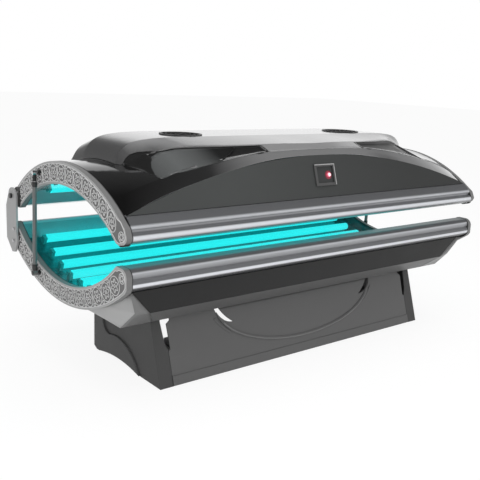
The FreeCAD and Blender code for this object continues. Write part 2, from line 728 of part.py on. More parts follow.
FOOT = Vector(0, size["spring_foot_depth"], size["spring_foot_height"])
HEAD = Vector(0, size["spring_head_depth"], size["spring_head_height"])
SPRING_WAY = (HEAD - FOOT).normalize()
SPRING_LENGTH = (HEAD - FOOT).Length
SPRING_X = OUTER_X + size["spring_offset"]
lower_studs, upper_studs = [], []
for side, sign in SIDES:
    def at(distance):
        return FOOT + SPRING_WAY * distance + Vector(sign * SPRING_X, 0, 0)

    def spring_round(radius, start, end):
        item = cylinder(radius, str(end - start), at(start), SPRING_WAY)
        return item

    eye = along_x("stud_radius + 7", "20", SPRING_X - 10, FOOT.y, FOOT.z, sign)
    eye_bore = along_x("stud_radius + running_gap", "40", SPRING_X - 20, FOOT.y, FOOT.z, sign)
    wall = fuse(eye, spring_round("spring_tube_radius", 8, size["spring_tube_end"]))
    chamber = spring_round("spring_bore_radius", 18, size["spring_tube_end"] - 12)
    gland = spring_round("spring_rod_radius + running_gap", 100, size["spring_tube_end"] + 5)
    keep(cut(wall, eye_bore, chamber, gland), "strut_tube_" + side)
    keep(fuse(spring_round("spring_rod_radius", 24, SPRING_LENGTH),
              spring_round("spring_bore_radius - running_gap", 24, 38),
              spring_round("spring_rod_radius + 2.5", SPRING_LENGTH - 22, SPRING_LENGTH - 6),
              along_x("9", "19", SPRING_X - 9, HEAD.y, HEAD.z, sign)), "strut_rod_" + side)
    lower_studs.append(fuse(along_x("stud_radius", "spring_offset + 11", OUTER_X, FOOT.y, FOOT.z, sign),
                            along_x("stud_radius + 6", "8", OUTER_X, FOOT.y, FOOT.z, sign),
                            along_x("stud_radius + 3", "2", SPRING_X + 10.5, FOOT.y, FOOT.z, sign)))
    upper_studs.append(fuse(along_x("stud_radius", "12.5", OUTER_X, HEAD.y, HEAD.z, sign),
                            along_x("stud_radius + 6", "8", OUTER_X, HEAD.y, HEAD.z, sign)))
keep(group(*lower_studs), "lower_strut_studs")
keep(group(*upper_studs), "upper_strut_studs")


# ---------------------------------------------------------------- fans

FAN_FLOOR = size["fan_floor"]
guards = []
for side, sign in SIDES:
    fan = (sign * size["fan_spacing"], size["fan_depth"])
    frame = box("184", "184", "fan_height", (fan[0] - 92, fan[1] - 92, FAN_FLOOR))
    duct = cylinder("fan_duct_radius", "fan_height + 4", (*fan, FAN_FLOOR - 2))
    spokes = [box("160", "10", "4", (fan[0] - 80, fan[1] - 5, FAN_FLOOR)),
              box("10", "160", "4", (fan[0] - 5, fan[1] - 80, FAN_FLOOR))]
    keep(fuse(cut(frame, duct), *spokes, cylinder("21", "8", (*fan, FAN_FLOOR)),
              cylinder("4", "22", (*fan, FAN_FLOOR))), "fan_housing_" + side)
    blades = []
    for number in range(5):
        blade = box("impeller_radius - 20", "24", "2", (0, 0, 0))
        turn = Rotation(Vector(0, 0, 1), number * 72 + 20) * Rotation(Vector(1, 0, 0), 28)
        blade.Placement = Placement(Vector(*fan, FAN_FLOOR + 16) + turn.multVec(Vector(19, -12, -1)), turn)
        blades.append(blade)
    hub = cylinder("22", "14", (*fan, FAN_FLOOR + 9))
    bore = cylinder("4 + running_gap", "40", (*fan, FAN_FLOOR))
    keep(cut(fuse(hub, *blades), bore), "fan_impeller_" + side)
    top = 950.0
    rim = cut(cylinder("fan_opening_radius + 6", "3", (*fan, top)),
              cylinder("fan_opening_radius - 6", "9", (*fan, top - 3)))
    wires = []
    for radius in (22, 42, 62):
        ring = bind(doc.addObject("Part::Torus", "Ring"), Radius1=str(radius), Radius2="1.5")
        ring.Placement = Placement(Vector(*fan, top + 1.5), Rotation())
        wires.append(ring)
    for number in range(4):
        turn = math.radians(45 * number)
        way = Vector(math.cos(turn), math.sin(turn), 0)
        start = Vector(*fan, top + 1.5) - way * 81
        wires.append(cylinder("1.4", "162", start, way))
    guards.append(fuse(rim, *wires))
keep(group(*guards), "fan_guards")


# ---------------------------------------------------------------- control panel

HALF_U, HALF_V = size["panel_width"] / 2, size["panel_height"] / 2


def rectangle(half_u, half_v):
    return ((-half_u, PANEL_MID - half_v), (half_u, PANEL_MID - half_v),
            (half_u, PANEL_MID + half_v), (-half_u, PANEL_MID + half_v))


bezel = leaning_plate("control_bezel", "5", LEAN, FASCIA_FOOT, rectangle(HALF_U, HALF_V),
                      rectangle(HOLE_U - 6, HOLE_V - 6), offset="5")
BUTTON_U, BUTTON_V = size["button_offset"], PANEL_MID - 2
leaning_plate("control_panel", "4", LEAN, FASCIA_FOOT, rectangle(HOLE_U, HOLE_V),
              circles=((BUTTON_U, BUTTON_V, "button_radius + running_gap"),))
button = fuse(cylinder("button_radius", "9", (BUTTON_U, -4, BUTTON_V), Vector(0, 1, 0)),
              cylinder("button_radius + 3", "3", (BUTTON_U, 4.4, BUTTON_V), Vector(0, 1, 0)))
button.Placement = Placement(Vector(0, *FASCIA_FOOT), Rotation(Vector(1, 0, 0), -LEAN))
keep(button, "start_button")


# ---------------------------------------------------------------- pedestal

BASE_X = size["base_half_length"]
FRONT, TOP = size["base_front"], size["base_height"]
BACK = size["base_rear"] + 24
RETURN = size["leg_return"]
LEG_LEAN = math.degrees(math.atan(0.32))
FRONT_TOP = FRONT + 0.32 * TOP
LEG_OUTLINE = ((FRONT, 2), (FRONT_TOP, TOP), (BACK, TOP), (BACK, 14), (BACK - 24, 2), (85, 2), (-85, 22, -255, 2))
# the dished area ends at a crease that sweeps from the rear edge down to the front foot
CREASE = ((92, TOP + 6), (52, 160), (24, 113, -20, 109), (-151, 95, -240, 15), (-262, -10),
          (FRONT - 40, -10), (FRONT - 40, TOP + 6))
# the front wall of a leg cover is narrower at the top, which leaves a slit beside the front panel
SLIT = ((RETURN - 1, 137), (54, 171), (47, 249), (46, 290), (RETURN + 40, 290), (RETURN + 40, 137))

for side, sign in SIDES:
    body = doc.addObject("PartDesign::Body", "leg_cover_" + side)
    start = {-1: "-base_half_length", 1: "base_half_length - leg_return"}[sign]
    outline = new_sketch(body, "YZ_Plane", start)
    draw(outline, *LEG_OUTLINE)
    pad(body, outline, "leg_return")
    skin = size["cover_skin"]
    inside = ((FRONT + 0.32 * -8 + skin, -8), (FRONT + 0.32 * (TOP + 5) + skin, TOP + 5),
              (BACK - skin, TOP + 5), (BACK - skin, -8))
    for plane, loop, depth, outwards in (
            ("base_half_length - leg_return", inside, "leg_return - leg_recess - cover_skin", True),
            ("base_half_length", CREASE, "leg_recess", False)):
        outline = new_sketch(body, "YZ_Plane", "%d*(%s)" % (sign, plane))
        draw(outline, *loop)
        pocket = body.newObject("PartDesign::Pocket", "Pocket")
        pocket.Profile = outline
        bind(pocket, Length=depth)
        pocket.Reversed = outwards == (sign > 0)
    slit = doc.addObject("Part::Feature", "Slit")
    corners = [Vector(sign * (BASE_X - u), FRONT - 20, z) for u, z in SLIT]
    slit.Shape = Part.Face(Part.makePolygon(corners + corners[:1])).extrude(Vector(0, 150, 0))
    keep(cut(body, slit), "base_leg_cover_" + side)

PANEL_HALF = BASE_X - RETURN - 1
PANEL_TOP_EDGE = 283
SIDE_EDGE = ((PANEL_HALF, 1), (PANEL_HALF, 140), (708, 146), (711, 246), (694, 258), (694, PANEL_TOP_EDGE))
AIR_SLIT = ((476, 278), (449, 226, 385, 200), (426, 234, 457, 278))


def mirrored(loop):
    """The same loop on the other side of mid length."""
    return tuple(tuple(-v if place % 2 == 0 else v for place, v in enumerate(step)) for step in loop)


panel = leaning_plate("base_front_panel", "cover_skin", LEG_LEAN, (FRONT, 2),
                      SIDE_EDGE + mirrored(SIDE_EDGE)[::-1])


def raise_on_panel(height, *loops):
    """Relief on the front panel, drawn as closed loops."""
    relief = new_sketch(panel, "XZ_Plane", "0")
    for loop in loops:
        draw(relief, *loop)
    pad(panel, relief, height)


def draw_half_ovals(sketch, rims, level):
    """Lower halves of ellipses, joined at their ends along a level line."""
    start = sketch.GeometryCount
    ends = []
    for half, drop in rims:
        oval = Part.Ellipse(Vector(0, level, 0), half, drop)
        sketch.addGeometry(Part.ArcOfEllipse(oval, math.pi, 2 * math.pi), False)
        ends.append(half)
    if len(ends) == 1:
        ends.append(-ends[0])
        sketch.addGeometry(Part.LineSegment(Vector(ends[1], level, 0), Vector(ends[0], level, 0)), False)
    else:
        for sign in (-1, 1):
            sketch.addGeometry(Part.LineSegment(Vector(sign * ends[0], level, 0),
                                                Vector(sign * ends[1], level, 0)), False)
    for number in range(start, sketch.GeometryCount):
        sketch.addConstraint(Sketcher.Constraint("Block", number))


for rims, height in ((((468, 194), (452, 180)), "6"), (((452.2, 180.2),), "2")):
    relief = new_sketch(panel, "XZ_Plane", "0")
    draw_half_ovals(relief, rims, 262)
    pad(panel, relief, height)
RIB = ((484, 224), (452, 186, 408, 152), (401, 159), (443, 192, 475, 230))
raise_on_panel("2.5", RIB, mirrored(RIB))
raise_on_panel("3", ((-PANEL_HALF, 1), (PANEL_HALF, 1), (PANEL_HALF, 40), (-PANEL_HALF, 40)))
# the air slits go through the plate and the relief on it
slits = new_sketch(panel, "XZ_Plane", "10")
for loop in (AIR_SLIT, mirrored(AIR_SLIT)):
    draw(slits, *loop)
pierced = panel.newObject("PartDesign::Pocket", "Pocket")
pierced.Profile = slits
bind(pierced, Length="20")

feet = []
for side, sign in SIDES:
    x = sign * (BASE_X - 50) - 20
    rise = size["bench_floor"] - size["foot_height"]
    parts = [box("beam_width", "430", "beam_height", (x, -350, size["foot_height"])),
             box("beam_width", "395", "beam_height", (x, -300, size["bench_floor"] - size["beam_height"])),
             box("beam_width", "beam_width", str(rise), (x, -290, size["foot_height"])),
             box("beam_width", "beam_width", str(rise), (x, 40, size["foot_height"]))]
    keep(fuse(*parts), "leg_frame_" + side)
    for y in (-325, 60):
        feet.append(cylinder("foot_radius", "foot_height", (x + 20, y, 0)))
keep(group(*feet), "levelling_feet")
beams = []
for y in (-290, 55):
    beam = box("40", "40", "beam_height", (0, y, size["bench_floor"] - size["beam_height"]))
    bind(beam, Length="2*(base_half_length - 70)")
    beam.Placement.Base.x = -(BASE_X - 70)
    beams.append(beam)
keep(group(*beams), "base_beams")

TRAY_TOP = size["foot_height"] + size["beam_height"]
keep(box("2*base_half_length - 60", "180", "3", (-BASE_X + 30, -230, TRAY_TOP)), "ballast_tray")
packs = []
for number in range(LAMPS // 2):
    for y in (-205, -125):
        packs.append(box("130", "42", "30", (-560 + 170 * number, y, TRAY_TOP + 3)))
keep(group(*packs), "ballasts")
keep(box("240", "150", "110", (380, -215, TRAY_TOP + 3)), "control_box")
keep(fuse(along_x("17", "3", BASE_X, 60, 70, 1), along_x("11", "12", BASE_X, 60, 70, 1)), "power_inlet")


# ---------------------------------------------------------------- finish

os.makedirs("parts", exist_ok=True)
doc.recompute()
for item in doc.Objects:
    if "Invalid" in item.State or "Error" in item.State:
        raise RuntimeError("%s failed: %s" % (item.Label, item.State))
for item in subparts:
    if item.Shape.isNull() or not item.Shape.isValid():
        raise RuntimeError("%s has no valid shape" % item.Label)
    item.Shape.exportStep("parts/%s.step" % item.Label)
    print("%-24s %9.1f cm3" % (item.Label, item.Shape.Volume / 1000))
print(len(subparts), "sub-parts")
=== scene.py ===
import math
import bmesh
import bpy
from mathutils import Euler, Matrix, Vector
from mathutils.bvhtree import BVHTree


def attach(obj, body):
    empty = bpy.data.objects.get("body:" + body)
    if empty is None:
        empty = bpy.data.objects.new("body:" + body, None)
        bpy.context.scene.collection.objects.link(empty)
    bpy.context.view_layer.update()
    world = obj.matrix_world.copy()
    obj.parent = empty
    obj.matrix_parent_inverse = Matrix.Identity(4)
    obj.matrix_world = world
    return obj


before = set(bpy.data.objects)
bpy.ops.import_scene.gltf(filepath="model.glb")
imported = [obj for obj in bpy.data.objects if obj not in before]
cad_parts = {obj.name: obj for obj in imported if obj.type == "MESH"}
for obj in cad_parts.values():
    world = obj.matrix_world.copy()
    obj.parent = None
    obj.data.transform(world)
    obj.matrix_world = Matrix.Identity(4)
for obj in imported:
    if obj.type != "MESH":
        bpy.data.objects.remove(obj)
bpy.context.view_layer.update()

# ---------------------------------------------------------------- end panels
# Four curved end panels, 25 mm thick, sprayed silver grey. Two close the ends of the bench and
# two the ends of the canopy, screwed to the rails.


def finish(name, colour, rough, metal=0.0, coat=0.0, vary=0.06, grain=900.0, bump=0.04,
           stretch=(1, 1, 1), glow=None, alpha=1.0, mottle=7.0, edge=0.0015, shine=0.5):
    """A node material: slow colour drift, uneven gloss, a fine surface grain and eased edges."""
    made = bpy.data.materials.new(name)
    made.use_nodes = True
    nodes, links = made.node_tree.nodes, made.node_tree.links
    skin = nodes["Principled BSDF"]
    skin.inputs["Metallic"].default_value = metal
    skin.inputs["Coat Weight"].default_value = coat
    skin.inputs["Coat Roughness"].default_value = 0.06
    skin.inputs["Specular IOR Level"].default_value = shine
    skin.inputs["Alpha"].default_value = alpha
    place = nodes.new("ShaderNodeTexCoord")
    spread = nodes.new("ShaderNodeMapping")
    spread.inputs["Scale"].default_value = stretch
    links.new(place.outputs["Object"], spread.inputs["Vector"])
    drift = nodes.new("ShaderNodeTexNoise")
    drift.inputs["Scale"].default_value = mottle
    drift.inputs["Detail"].default_value = 4
    links.new(spread.outputs["Vector"], drift.inputs["Vector"])
    tint = nodes.new("ShaderNodeMix")
    tint.data_type = "RGBA"
    tint.inputs["A"].default_value = (*[c * (1 - vary) for c in colour], 1)
    tint.inputs["B"].default_value = (*[min(c * (1 + vary), 1) for c in colour], 1)
    links.new(drift.outputs["Fac"], tint.inputs["Factor"])
    links.new(tint.outputs["Result"], skin.inputs["Base Color"])
    gloss = nodes.new("ShaderNodeMapRange")
    gloss.inputs["To Min"].default_value = rough * 0.82
    gloss.inputs["To Max"].default_value = min(rough * 1.2, 1)
    links.new(drift.outputs["Fac"], gloss.inputs["Value"])
    links.new(gloss.outputs["Result"], skin.inputs["Roughness"])
    fine = nodes.new("ShaderNodeTexNoise")
    fine.inputs["Scale"].default_value = grain
    fine.inputs["Detail"].default_value = 2
    links.new(spread.outputs["Vector"], fine.inputs["Vector"])
    relief = nodes.new("ShaderNodeBump")
    relief.inputs["Strength"].default_value = bump
    relief.inputs["Distance"].default_value = 0.0005
    eased = nodes.new("ShaderNodeBevel")
    eased.samples = 6
    eased.inputs["Radius"].default_value = edge
    links.new(eased.outputs["Normal"], relief.inputs["Normal"])
    links.new(fine.outputs["Fac"], relief.inputs["Height"])
    links.new(relief.outputs["Normal"], skin.inputs["Normal"])
    if glow:
        skin.inputs["Emission Color"].default_value = (*glow[:3], 1)
        skin.inputs["Emission Strength"].default_value = glow[3]
    return made


def dress(material, *names):
    """Gives CAD nodes their finish, with any painted light and shade that it carries."""
    for name in names:
        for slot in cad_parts[name].material_slots:
            slot.material = material


def painted_light_bands(material, source, axis, low, high, *stops, mirror=False):
    """Multiplies a finish by greys laid out along one axis of the piece: painted light and shade.

    The first two stops are the ends of the run, and the others lie between them."""
    nodes, links = material.node_tree.nodes, material.node_tree.links
    skin = nodes["Principled BSDF"]
    split = nodes.new("ShaderNodeSeparateXYZ")
    links.new(nodes["Texture Coordinate"].outputs[source], split.inputs["Vector"])
    reading = split.outputs[axis]
    if mirror:
        size = nodes.new("ShaderNodeMath")
        size.operation = "ABSOLUTE"
        links.new(reading, size.inputs[0])
        reading = size.outputs["Value"]
    span = nodes.new("ShaderNodeMapRange")
    span.inputs["From Min"].default_value = low
    span.inputs["From Max"].default_value = high
    links.new(reading, span.inputs["Value"])
    ramp = nodes.new("ShaderNodeValToRGB")
    marks = ramp.color_ramp.elements
    for number, (spot, shade) in enumerate(stops):
        place = (spot - low) / (high - low)
        stop = marks[number] if number < 2 else marks.new(place)
        stop.position = place
        stop.color = (shade, shade, shade, 1)
    links.new(span.outputs["Result"], ramp.inputs["Fac"])
    layer = nodes.new("ShaderNodeMix")
    layer.data_type = "RGBA"
    layer.blend_type = "MULTIPLY"
    layer.inputs["Factor"].default_value = 1
    links.new(skin.inputs["Base Color"].links[0].from_socket, layer.inputs["A"])
    links.new(ramp.outputs["Color"], layer.inputs["B"])
    links.new(layer.outputs["Result"], skin.inputs["Base Color"])


silver_spray = finish("silver spray", (0.42, 0.42, 0.42), 0.38, vary=0.03, grain=1400, bump=0.06)
# painted shade: the panels' edge faces, which look up and forward, are darkened to under half
painted_light_bands(silver_spray, "Normal", "X", 0, 1, (0.0, 0.45), (1.0, 1.0), (0.45, 0.45), (0.75, 1.0),
      mirror=True)
# painted shade: a thin dark line along the inner corner of the edge, against the body it closes
painted_light_bands(silver_spray, "Object", "X", 0.97, 1.0, (0.97, 0.12), (1.0, 1.0), (0.9775, 0.12),
      (0.979, 1.0), mirror=True)
dress(silver_spray, "bench_end_left", "bench_end_right", "canopy_end_left", "canopy_end_right")

# ---------------------------------------------------------------- ornament on the end panels
# A band of filigree, pressed in a darker foil and glued round the face of each end panel from
# tip to tip. Its raised lines are rings round rosettes, with small rings between them, and a
# border that runs round the foil.

SIDES = (("left", -1), ("right", 1))
# which way each arc opens, then depth, height, radius and end angles of its inner and outer edge
RIMS = {"bench": (-1, (0.0, 1.041, 0.675, -41.8, 40.2), (0.0, 1.145, 0.861, -36.7, 32.1)),
        "canopy": (1, (-0.035, 0.092, 0.669, -37.9, 40.7), (-0.035, 0.115, 0.735, -36.5, 40.4))}
BAND_ENDS, MARGIN, MEDALLIONS = (-0.97, 0.95), 0.0095, 13
BAND_STEPS, BORDER_STEPS = 96, 90
FOIL_FACE, LINE_FACE, LINE_RADIUS = 1.0004, 1.0006, 0.0017
ARC_OVER_CHORD = 1.08
# depth and height of each front tip's foil, from the band's end to the point, in pairs
TIPS = {"bench": (((-0.459, 0.522), (-0.506, 0.4645)), ((-0.470, 0.5285), (-0.5135, 0.474)),
                  ((-0.488, 0.529), (-0.5145, 0.498)), ((-0.500, 0.523), (-0.5105, 0.513))),
        "canopy": (((-0.4545, 0.6255), (-0.4795, 0.6995)), ((-0.468, 0.6235), (-0.5035, 0.6765)),
                   ((-0.490, 0.6295), (-0.5135, 0.652)), ((-0.504, 0.636), (-0.510, 0.642)))}
TIP_ROSE = {"bench": (-0.4915, 0.5035, 0.0185), "canopy": (-0.4865, 0.6485, 0.0185)}
foil = finish("ornament foil", (0.135, 0.135, 0.135), 0.45, vary=0.22, grain=600, bump=0.2,
              mottle=60)
raised_line = finish("raised ornament", (0.7, 0.7, 0.7), 0.35, vary=0.05, grain=1200)


def across_panel(part, along):
    """Inner and outer edge of an end panel, from -1 at its front tip to 1 at its rear."""
    facing, *rims = RIMS[part]
    edges = []
    for y, z, radius, first, last in rims:
        turn = math.radians(first + (last - first) * (along + 1) / 2)
        rise = facing * radius * math.cos(turn)
        edges.append(Vector((0, y + radius * math.sin(turn), z + rise)))
    return edges


def on_band(part, x, u, v):
    """A point of the band: u along it from -1 to 1, v in metres outwards from its middle line."""
    inner, outer = across_panel(part, u)
    place = (inner + outer) / 2 + (outer - inner).normalized() * v
    return (x, place.y, place.z)


def half_width(part, u):
    """Half the width of the foil at one place along the band."""
    inner, outer = across_panel(part, u)
    return (outer - inner).length / 2 - MARGIN


def ring(u, v, width, height, lobes=0, depth=0.0, count=32):
    """A closed round line, with lobes for a flower."""
    loop = []
    for step in range(count):
        turn = math.tau * step / count
        swell = 1 + depth * math.cos(lobes * turn)
        loop.append((u + width * swell * math.cos(turn), v + height * swell * math.sin(turn)))
    return loop


def medallion(high):
    """A ring round a rosette of six petals, about its own middle."""
    rim = ring(0, 0, 0.95 * high, 0.93 * high, count=40)
    rosette = ring(0, 0, 0.52 * high, 0.52 * high, 6, 0.3, 48)
    eye = ring(0, 0, 0.15 * high, 0.15 * high, count=12)
    return [rim, rosette, eye]


def foil_strip(part, side, sign):
    """The flat foil, from the point of the front tip along the band to the rear."""
    first, last = BAND_ENDS
    face = sign * FOIL_FACE
    band = bmesh.new()
    rows = [[band.verts.new((face, *place)) for place in pair] for pair in TIPS[part][::-1]]
    for step in range(BAND_STEPS + 1):
        along = first + (last - first) * step / BAND_STEPS
        high = half_width(part, along)
        rows.append([band.verts.new(on_band(part, face, along, v)) for v in (-high, high)])
    for near, far in zip(rows, rows[1:]):
        band.faces.new((near[0], far[0], far[1], near[1]))
    mesh = bpy.data.meshes.new("foil")
    band.to_mesh(mesh)
    band.free()
    mesh.materials.append(foil)
    return bpy.data.objects.new("ornament_foil_%s_%s" % (part, side), mesh)


def filigree(part, side, sign):
    """The raised lines. Each is laid out round a middle on the band, along the whole band in
    half widths (middle None), or in plain depth and height at the tip (middle False)."""
    first, last = BAND_ENDS
    face = sign * LINE_FACE
    spans = zip(across_panel(part, -1), across_panel(part, 1))
    metres = sum((rear - front).length for front, rear in spans) / 4 * ARC_OVER_CHORD
    drawn = []
    pitch = (last - first) / MEDALLIONS
    for number in range(MEDALLIONS):
        middle = first + pitch * (number + 0.5)
        high = min(half_width(part, middle), pitch * metres * 0.5)
        drawn += [(middle, loop, True) for loop in medallion(high)]
        between = middle + pitch / 2
        if number < MEDALLIONS - 1:
            high = half_width(part, between)
            for hand in (-1, 1):
                bead = ring(0, hand * 0.78 * high, 0.17 * high, 0.17 * high, count=12)
                drawn.append((between, bead, True))
    for edge in (-1, 1):
        border = [(first + (last - first) * step / BORDER_STEPS, edge)
                  for step in range(BORDER_STEPS + 1)]
        drawn.append((None, border, False))
    y, z, reach = TIP_ROSE[part]
    for radius, depth in ((reach, 0), (0.55 * reach, 0.3)):
        drawn.append((False, ring(y, z, radius, radius, 6, depth, 36), True))
    ends = [on_band(part, 0, first, hand * half_width(part, first))[1:] for hand in (-1, 1)]
    around = [spot for spot, _ in TIPS[part]] + [spot for _, spot in TIPS[part][::-1]]
    drawn.append((False, [ends[0], *around, ends[1]], False))
    lines = bpy.data.curves.new("filigree", "CURVE")
    lines.dimensions = "3D"
    lines.bevel_depth = LINE_RADIUS
    lines.bevel_resolution = 1
    for middle, points, cyclic in drawn:
        spline = lines.splines.new("POLY")
        spline.points.add(len(points) - 1)
        spline.use_cyclic_u = cyclic
        for point, (u, v) in zip(spline.points, points):
            if middle is False:
                place = (face, u, v)
            elif middle is None:
                place = on_band(part, face, u, v * half_width(part, u))
            else:
                place = on_band(part, face, middle + u / metres, v)
            point.co = (*place, 1)
    lines.materials.append(raised_line)
    return bpy.data.objects.new("filigree_%s_%s" % (part, side), lines)


for part, body in (("bench", "bed_base"), ("canopy", "canopy")):
    for side, sign in SIDES:
        for piece in (foil_strip(part, side, sign), filigree(part, side, sign)):
            bpy.context.scene.collection.objects.link(piece)
            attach(piece, body)

# ---------------------------------------------------------------- tip pads
# A rubber pad under the front tip of each canopy end keeps the canopy off the bench when it is
# pulled right down. It is moulded with three ribs and glued in place.

PAD_LINE = ((-0.507, 0.6262), (-0.498, 0.6205), (-0.488, 0.6178), (-0.474, 0.6148),
            (-0.462, 0.6185))
PAD_START, PAD_WIDTH, PAD_ROWS = 0.977, 0.021, 12
PAD_LOOP = [0, 1, 2, 3, 4, 9, 8, 7, 6, 5]
rubber = finish("black rubber", (0.02, 0.02, 0.02), 0.7, vary=0.15, grain=1600, bump=0.3)


def new_piece(name, points, faces, material, body, smooth=True):
    """A mesh piece in the bed's own frame, which rides on a body."""
    mesh = bpy.data.meshes.new(name)
    mesh.from_pydata([tuple(p) for p in points], [], faces)
    mesh.materials.append(material)
    for face in mesh.polygons:
        face.use_smooth = smooth
    piece = bpy.data.objects.new(name, mesh)
    bpy.context.scene.collection.objects.link(piece)
    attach(piece, body)
    return piece


for side, sign in SIDES:
    points, faces = [], []
    for row in range(PAD_ROWS + 1):
        x = sign * (PAD_START + PAD_WIDTH * row / PAD_ROWS)
        drop = 0.0035 + 0.0012 * math.cos(math.tau * row / 4)
        points += [(x, y, z - edge * drop) for edge in (0, 1) for y, z in PAD_LINE]
    corners = len(PAD_LOOP)
    for row in range(PAD_ROWS):
        near, far = corners * row, corners * (row + 1)
        for a, b in zip(PAD_LOOP, PAD_LOOP[1:] + PAD_LOOP[:1]):
            faces.append((near + a, near + b, far + b, far + a))
    faces += [PAD_LOOP[::-1], [corners * PAD_ROWS + n for n in PAD_LOOP]]
    new_piece("tip_pad_" + side, points, faces, rubber, "canopy", smooth=False)

# ---------------------------------------------------------------- rails
# Extruded aluminium rails join the end panels at the front and the back, with a flange and a
# groove above the rounded nose; faint draw lines run along their length. The front rails are
# painted in greys by height: a bright band on the nose and a light line below the flange are
# painted highlights, and the darker flange, groove and underside are painted shade.


def rail_metal_with_painted_light(name, *stops):
    """Drawn aluminium, with painted highlights and painted shade in greys at heights above the
    floor.
    """
    metal = finish(name, (0.92, 0.94, 1.0), 0.3, metal=0.3, vary=0.03, grain=260, bump=0.12,
                   stretch=(0.02, 1, 1), mottle=30)
    painted_light_bands(metal, "Object", "Z", stops[0][0], stops[1][0], *stops)
    return metal


canopy_rail = rail_metal_with_painted_light("canopy rail", (0.618, 0.16), (0.715, 0.15), (0.635, 0.2), (0.643, 0.8),
                         (0.652, 0.9), (0.657, 0.16), (0.664, 0.2), (0.669, 0.38), (0.678, 0.5),
                         (0.684, 0.68), (0.69, 0.16))
bench_rail = rail_metal_with_painted_light("bench rail", (0.446, 0.1), (0.537, 0.2), (0.469, 0.12), (0.473, 0.9),
                        (0.481, 0.9), (0.485, 0.16), (0.499, 0.26), (0.508, 0.33), (0.516, 0.42),
                        (0.522, 0.68), (0.527, 0.14))
plain_rail = finish("plain rail", (0.45, 0.45, 0.47), 0.32, metal=0.7, vary=0.04, grain=260,
                    bump=0.12, stretch=(0.02, 1, 1), mottle=30)
dress(canopy_rail, "canopy_front_rail")
dress(bench_rail, "bench_front_rail")
dress(plain_rail, "bench_rear_rail", "canopy_rear_rail")

# ---------------------------------------------------------------- bench underside
# Formed sheet closes the bench below: a dark front panel, a lighter slotted belly and a rear
# panel, with pale fairings that round off the two ends.

charcoal = finish("charcoal moulding", (0.02, 0.02, 0.02), 0.45, vary=0.08, grain=1500, bump=0.2,
                  shine=0.22)
belly_grey = finish("belly grey", (0.12, 0.12, 0.12), 0.45, vary=0.08, grain=1500, bump=0.25)
fairing_grey = finish("fairing grey", (0.46, 0.46, 0.46), 0.35, vary=0.04, grain=1400, bump=0.05,
                      edge=0.03)
# painted shade: faces of the fairings that look forward and down are darkened to under half
painted_light_bands(fairing_grey, "Normal", "X", 0, 1, (0.0, 0.42), (1.0, 1.0), (0.45, 0.5), (0.85, 1.0),
      mirror=True)
dress(charcoal, "bench_front_panel", "bench_rear_panel")
dress(belly_grey, "bench_belly")
dress(fairing_grey, "bench_fairing_left", "bench_fairing_right")

# ---------------------------------------------------------------- lamps
# Ten low-pressure tubes in the bench and ten in the canopy, 38 mm across. Their glass is coated
# inside and glows cyan. Moulded lampholders grip them at both ends. They are painted teal for the
# lamps' light on them, painted light, and those at the right end near black, painted shade.

lit_tube = finish("lit tube", (0.02, 0.3, 0.3), 0.35, vary=0.03, glow=(0.03, 0.95, 0.97, 1.0))
holder_teal = finish("holder teal", (0.03, 0.5, 0.5), 0.5, vary=0.1)
# painted light and shade: teal holders at the left end, near black ones at the right end
painted_light_bands(holder_teal, "Object", "X", -1, 1, (-1.0, 1.0), (1.0, 0.06), (-0.1, 1.0), (0.1, 0.06))
dress(lit_tube, "bench_lamps", "canopy_lamps")
dress(holder_teal, "bench_lampholders", "canopy_lampholders")

# ---------------------------------------------------------------- reflectors and acrylics
# Bright rolled sheet behind the tubes throws their light forward. It is painted teal, streaked
# along its length, for the lamps' light mirrored in it: painted reflection. A clear curved
# acrylic sheet lies over them, tinted teal for the light that it carries: painted lamp light,
# which its edges show most.

mirror_sheet = finish("mirror sheet", (0.02, 0.2, 0.21), 0.3, metal=0.6, vary=0.75, mottle=45,
                      stretch=(0.01, 1, 1))
acrylic = finish("clear acrylic", (0.02, 0.3, 0.31), 0.06, vary=0.03, bump=0.004, alpha=0.14,
                 edge=0.0005)
dress(mirror_sheet, "bench_reflector", "canopy_reflector")
dress(acrylic, "bench_acrylic", "canopy_acrylic")

# ---------------------------------------------------------------- canopy skins
# The barrel and the hood on it are moulded and lacquered in a gloss silver that mirrors what is
# round it; the hood is painted darker on faces that turn towards its ends: painted shade. The
# arched front panel below them is satin dark grey, painted lighter at its left end and darker
# towards its right: painted light and shade.

gloss_silver = finish("gloss silver", (0.55, 0.55, 0.555), 0.09, metal=1.0, coat=0.5, vary=0.02,
                      grain=90, bump=0.002, edge=0.003)
hood_silver = finish("hood silver", (0.6, 0.6, 0.605), 0.13, metal=0.6, coat=0.3, vary=0.02,
                     grain=90, bump=0.002, edge=0.006)
# painted shade: faces of the hood that turn towards its ends are darkened to about a third
painted_light_bands(hood_silver, "Normal", "X", 0, 1, (0.0, 1.0), (1.0, 0.25), (0.12, 1.0), (0.45, 0.32),
      mirror=True)
fascia_grey = finish("fascia grey", (0.066, 0.07, 0.069), 0.42, vary=0.04, grain=1200, bump=0.05,
                     shine=0.35)
# painted light and shade: the front panel is lighter at its left end and darker towards its right
painted_light_bands(fascia_grey, "Object", "X", -0.97, 0.97, (-0.97, 0.88), (0.97, 0.36), (-0.5, 0.95),
      (0.05, 0.7), (0.6, 0.45))
dress(gloss_silver, "canopy_shell")
dress(hood_silver, "canopy_hood")
dress(fascia_grey, "canopy_fascia")

# ---------------------------------------------------------------- air scoops
# Two long scoops in the front of the hood draw in cooling air. A gloss black sheet laid in each,
# the right one not quite to its outer end, is painted shade for the dark inside the scoop. A
# satin grey vane in the left one guides the air to the fans, painted dark at its inner end and
# bright near its outer end: painted shade and a painted highlight. The vane is clipped in.

